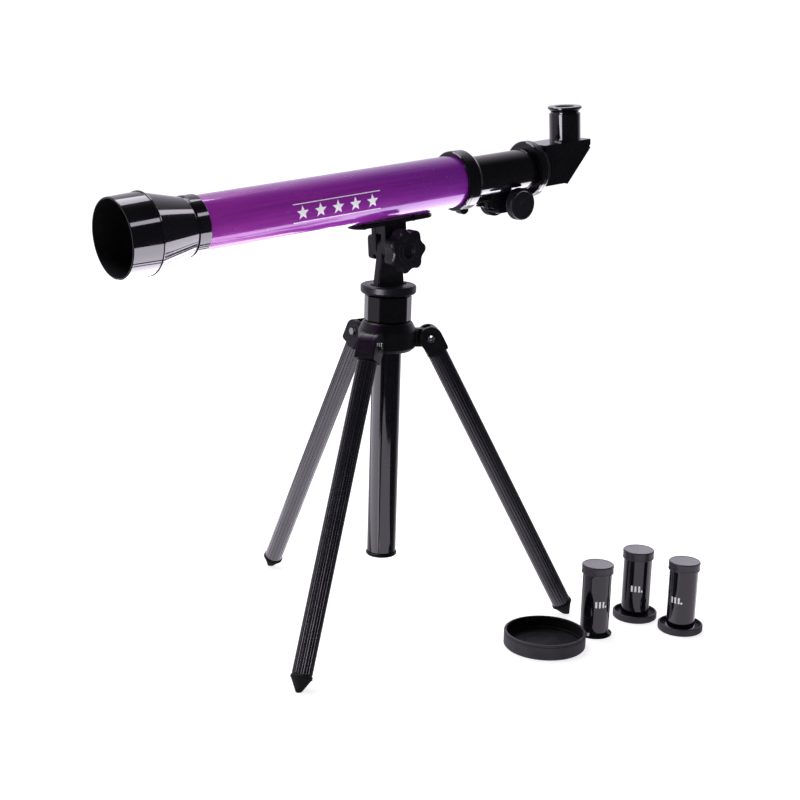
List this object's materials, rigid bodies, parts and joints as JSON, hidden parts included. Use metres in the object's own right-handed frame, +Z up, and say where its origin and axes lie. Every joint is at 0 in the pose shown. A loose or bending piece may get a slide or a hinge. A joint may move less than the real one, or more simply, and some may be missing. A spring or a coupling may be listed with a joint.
{
  "type": "telescope",
  "caption": "Small refracting telescope with a right-angle eyepiece, rack focusing and a pan and tilt head on a folding tripod, with its dust cap and spare eyepieces.",
  "frame": {"origin": "middle of the footprint, on the floor that the feet and the loose pieces stand on", "axes": "+Z up, +X from the objective towards the eyepiece end with the head facing forward, -Y the side with the tilt knob"},
  "size_m": [0.4062, 0.3054, 0.3733],
  "materials": {
    "purple_gloss": "high gloss purple tube",
    "black_gloss": "high gloss black moulding",
    "black_satin": "satin black moulding",
    "black_matt": "matt black moulding",
    "black_rubber": "soft matt black rubber",
    "chrome_steel": "bright plated steel",
    "zinc_steel": "dull plated steel",
    "optical_glass": "clear polished glass",
    "silvered_mirror": "silvered front surface"
  },
  "bodies": {
    "tripod_hub": {"tripod_hub": "black_satin"},
    "lock_collar": {"column_lock_collar": "black_gloss"},
    "column": {"centre_column": "black_gloss", "column_end_cap": "black_satin", "pan_bushing": "black_matt"},
    "pan_head": {"pan_head": "black_satin", "pan_retaining_screw": "zinc_steel"},
    "telescope": {"saddle_bracket": "black_satin", "saddle_screw_front": "chrome_steel", "saddle_screw_rear": "chrome_steel", "tilt_bolt": "zinc_steel", "main_tube": "purple_gloss", "tube_baffle": "black_matt", "dew_shield": "black_gloss", "objective_cell": "black_matt", "objective_lens": "optical_glass", "lens_retaining_ring": "black_matt", "focuser_body": "black_gloss", "pinion_cover": "black_satin", "pinion_cover_screw_front": "chrome_steel", "pinion_cover_screw_rear": "chrome_steel"},
    "tilt_knob": {"tilt_knob": "black_satin"},
    "draw_tube": {"draw_tube": "black_gloss", "focus_rack": "black_satin"},
    "focus_shaft": {"pinion_shaft": "black_matt", "focus_knob_near": "black_satin", "focus_knob_far": "black_satin"},
    "diagonal": {"diagonal_housing": "black_gloss", "diagonal_mirror": "silvered_mirror", "mirror_cover": "black_gloss"},
    "eyepiece": {"eyepiece_barrel": "black_gloss", "eyepiece_eye_lens": "optical_glass", "eyepiece_field_lens": "optical_glass", "eyepiece_field_ring": "black_matt"},
    "leg_right": {"leg_top_right": "black_satin", "hinge_pin_right": "chrome_steel", "leg_tube_right": "black_satin", "foot_right": "black_rubber"},
    "leg_back": {"leg_top_back": "black_satin", "hinge_pin_back": "chrome_steel", "leg_tube_back": "black_satin", "foot_back": "black_rubber"},
    "leg_front": {"leg_top_front": "black_satin", "hinge_pin_front": "chrome_steel", "leg_tube_front": "black_satin", "foot_front": "black_rubber"},
    "dust_cap": {"dust_cap": "black_matt"},
    "spare_eyepiece_a": {"spare_eyepiece_a_barrel": "black_gloss", "spare_eyepiece_a_cap": "black_satin", "spare_eyepiece_a_eye_lens": "optical_glass"},
    "spare_eyepiece_b": {"spare_eyepiece_b_barrel": "black_gloss", "spare_eyepiece_b_cap": "black_satin", "spare_eyepiece_b_eye_lens": "optical_glass", "spare_eyepiece_b_guard": "black_satin"},
    "spare_eyepiece_c": {"spare_eyepiece_c_barrel": "black_gloss", "spare_eyepiece_c_cap": "black_satin", "spare_eyepiece_c_eye_lens": "optical_glass", "spare_eyepiece_c_guard": "black_satin"}
  },
  "joints": [
    {"name": "column_lift", "type": "slide", "parent": "tripod_hub", "child": "column", "axis": [0, 0, 1], "range_m": [0, 0.15]},
    {"name": "collar_turn", "type": "hinge", "parent": "tripod_hub", "child": "lock_collar", "pos_m": [0.0167, 0.00672, 0.235], "axis": [0, 0, 1], "range_deg": [0, 90]},
    {"name": "pan", "type": "hinge", "parent": "column", "child": "pan_head", "pos_m": [0.0167, 0.00672, 0.248], "axis": [0, 0, 1], "continuous": true},
    {"name": "tilt", "type": "hinge", "parent": "pan_head", "child": "telescope", "pos_m": [0.0167, 0.00672, 0.27682], "axis": [0, 1, 0], "range_deg": [-25, 60]},
    {"name": "tilt_knob_turn", "type": "hinge", "parent": "telescope", "child": "tilt_knob", "pos_m": [0.0167, 0.00672, 0.27682], "axis": [0, -1, 0], "range_deg": [0, 360]},
    {"name": "focus_draw", "type": "slide", "parent": "telescope", "child": "draw_tube", "axis": [0.9962, 0, 0.0872], "range_m": [0, 0.028]},
    {"name": "focus_turn", "type": "hinge", "parent": "telescope", "child": "focus_shaft", "pos_m": [0.12631, 0.00672, 0.30322], "axis": [0, 1, 0], "range_deg": [0, 446]},
    {"name": "diagonal_turn", "type": "hinge", "parent": "draw_tube", "child": "diagonal", "pos_m": [0.14981, 0.00672, 0.32722], "axis": [0.9962, 0, 0.0872], "continuous": true},
    {"name": "eyepiece_lift", "type": "slide", "parent": "diagonal", "child": "eyepiece", "axis": [-0.0872, 0, 0.9962], "range_m": [0, 0.03]},
    {"name": "leg_right_fold", "type": "hinge", "parent": "tripod_hub", "child": "leg_right", "pos_m": [0.04311, -0.00853, 0.21272], "axis": [0.5, 0.866, 0], "range_deg": [0, 27.5]},
    {"name": "leg_back_fold", "type": "hinge", "parent": "tripod_hub", "child": "leg_back", "pos_m": [0.0167, 0.03722, 0.21272], "axis": [-1, 0, 0], "range_deg": [0, 27.5]},
    {"name": "leg_front_fold", "type": "hinge", "parent": "tripod_hub", "child": "leg_front", "pos_m": [-0.00972, -0.00853, 0.21272], "axis": [0.5, -0.866, 0], "range_deg": [0, 27.5]},
    {"name": "dust_cap_lift", "type": "slide", "parent": "tripod_hub", "child": "dust_cap", "axis": [0, 0, 1], "range_m": [0, 0.06]},
    {"name": "spare_a_lift", "type": "slide", "parent": "tripod_hub", "child": "spare_eyepiece_a", "axis": [0, 0, 1], "range_m": [0, 0.06]},
    {"name": "spare_b_lift", "type": "slide", "parent": "tripod_hub", "child": "spare_eyepiece_b", "axis": [0, 0, 1], "range_m": [0, 0.06]},
    {"name": "spare_c_lift", "type": "slide", "parent": "tripod_hub", "child": "spare_eyepiece_c", "axis": [0, 0, 1], "range_m": [0, 0.06]}
  ],
  "couplings": [
    {"joint": "focus_turn", "follows": "focus_draw", "rad_per_m": 277.78}
  ]
}
